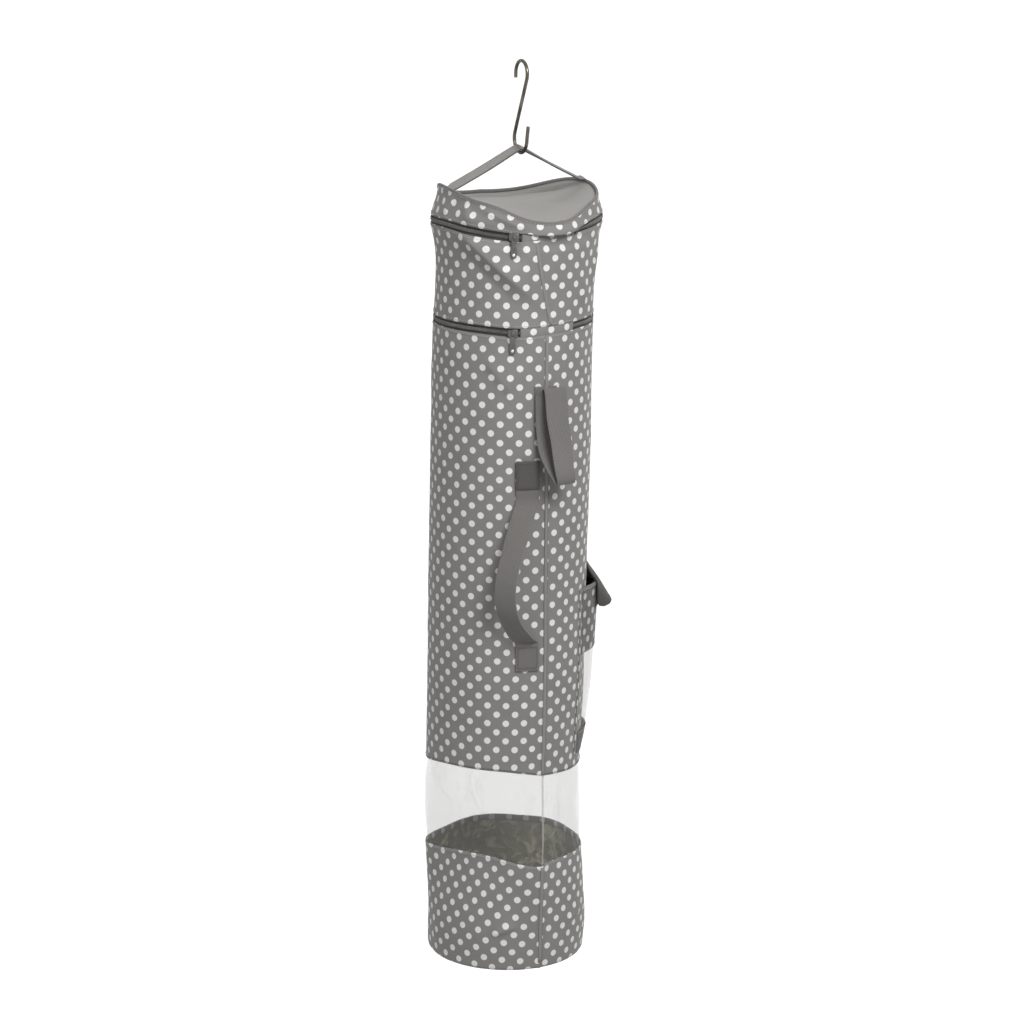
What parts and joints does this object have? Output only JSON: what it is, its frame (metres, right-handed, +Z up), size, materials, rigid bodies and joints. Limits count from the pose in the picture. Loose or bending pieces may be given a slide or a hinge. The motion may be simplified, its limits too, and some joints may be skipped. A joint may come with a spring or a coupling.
{
  "type": "hanging gift wrap organizer",
  "caption": "Tall soft cloth tube for rolls of gift wrap, with two zips round the top, a clear window band, a side pocket, a carry handle and a wire hook to hang it by.",
  "frame": {"origin": "centre of the bottom panel's underside, on the tube's axis", "axes": "+Z up along the tube, -Y towards the seam, zip hinges, handle and grab loop, +X towards the side pocket"},
  "size_m": [0.2347, 0.2472, 1.1461],
  "materials": {
    "dotted_cloth": "grey woven polyester with a light dot print",
    "plain_cloth": "plain grey lining cloth",
    "trim_cloth": "dark binding tape",
    "webbing_cloth": "dark grey woven webbing",
    "zip_cloth": "dark zip tape",
    "zip_nylon": "dark nylon coil",
    "zip_metal": "dark painted zinc",
    "clear_vinyl": "clear vinyl sheet",
    "stiff_board": "stiff insert board",
    "wire_metal": "bright plated wire"
  },
  "bodies": {
    "tube": {"base_skirt": "dotted_cloth", "base_panel": "plain_cloth", "base_board": "stiff_board", "window_band": "clear_vinyl", "window_seam_strip": "clear_vinyl", "tube_wall": "dotted_cloth", "tube_seam_binding": "trim_cloth", "skirt_seam_binding": "trim_cloth", "lower_zip_tube_tape": "zip_cloth", "lower_zip_tube_coil": "zip_nylon", "lower_hinge_patch": "dotted_cloth", "handle_top_tab": "webbing_cloth", "handle_bottom_tab": "webbing_cloth", "loop_tab": "webbing_cloth", "pocket_base": "trim_cloth", "pocket_window": "clear_vinyl", "pocket_band": "dotted_cloth", "pocket_top_binding": "trim_cloth", "pocket_side_binding_left": "trim_cloth", "pocket_side_binding_right": "trim_cloth", "pocket_fastener": "trim_cloth"},
    "neck": {"neck_wall": "dotted_cloth", "neck_seam_binding": "trim_cloth", "lower_zip_neck_tape": "zip_cloth", "lower_zip_neck_coil": "zip_nylon", "upper_zip_neck_tape": "zip_cloth", "upper_zip_neck_coil": "zip_nylon", "upper_hinge_patch": "dotted_cloth"},
    "lid": {"lid_skirt": "dotted_cloth", "rim_binding": "trim_cloth", "lid_panel": "plain_cloth", "upper_zip_lid_tape": "zip_cloth", "upper_zip_lid_coil": "zip_nylon", "strap_end_left": "webbing_cloth", "strap_end_right": "webbing_cloth"},
    "lower_slider": {"lower_slider": "zip_metal"},
    "upper_slider": {"upper_slider": "zip_metal"},
    "lower_pull": {"lower_pull_tab": "zip_metal"},
    "upper_pull": {"upper_pull_tab": "zip_metal"},
    "strap": {"hang_strap": "webbing_cloth"},
    "hook": {"s_hook": "wire_metal"},
    "handle": {"handle_bow": "webbing_cloth"},
    "loop": {"grab_loop": "webbing_cloth"},
    "flap": {"pocket_flap": "trim_cloth", "flap_fastener": "trim_cloth"}
  },
  "joints": [
    {"name": "neck_hinge", "type": "hinge", "parent": "tube", "child": "neck", "pos_m": [0, -0.1, 0.8275], "axis": [1, 0, 0], "range_deg": [0, 95]},
    {"name": "lid_hinge", "type": "hinge", "parent": "neck", "child": "lid", "pos_m": [0, -0.1, 0.945], "axis": [1, 0, 0], "range_deg": [0, 105]},
    {"name": "lower_slider_travel", "type": "hinge", "parent": "tube", "child": "lower_slider", "pos_m": [0, 0, 0.821], "axis": [0, 0, -1], "range_deg": [0, 305]},
    {"name": "upper_slider_travel", "type": "hinge", "parent": "neck", "child": "upper_slider", "pos_m": [0, 0, 0.9385], "axis": [0, 0, -1], "range_deg": [0, 305]},
    {"name": "lower_tab_swing", "type": "hinge", "parent": "lower_slider", "child": "lower_pull", "pos_m": [-0.04618, -0.09274, 0.821], "axis": [0.8952, -0.4457, 0], "range_deg": [-170, 0]},
    {"name": "upper_tab_swing", "type": "hinge", "parent": "upper_slider", "child": "upper_pull", "pos_m": [-0.04618, -0.09274, 0.9385], "axis": [-0.8952, 0.4457, 0], "range_deg": [0, 170]},
    {"name": "strap_swing", "type": "hinge", "parent": "lid", "child": "strap", "pos_m": [0, 0, 0.99], "axis": [-1, 0, 0], "range_deg": [-36, 64]},
    {"name": "hook_swing", "type": "hinge", "parent": "strap", "child": "hook", "pos_m": [0, -0.01469, 1.0489], "axis": [-1, 0, 0], "range_deg": [-40, 40]},
    {"name": "handle_swing", "type": "hinge", "parent": "tube", "child": "handle", "pos_m": [-0.02839, -0.09901, 0.3939], "axis": [0, 0, 1], "range_deg": [-20, 60]},
    {"name": "loop_swing", "type": "hinge", "parent": "tube", "child": "loop", "pos_m": [-0.00445, -0.102, 0.7547], "axis": [-0.999, 0.0436, 0], "range_deg": [0, 80]},
    {"name": "flap_hinge", "type": "hinge", "parent": "tube", "child": "flap", "pos_m": [0.10045, -0.01771, 0.51306], "axis": [-0.1736, -0.9848, 0], "range_deg": [0, 120]}
  ]
}
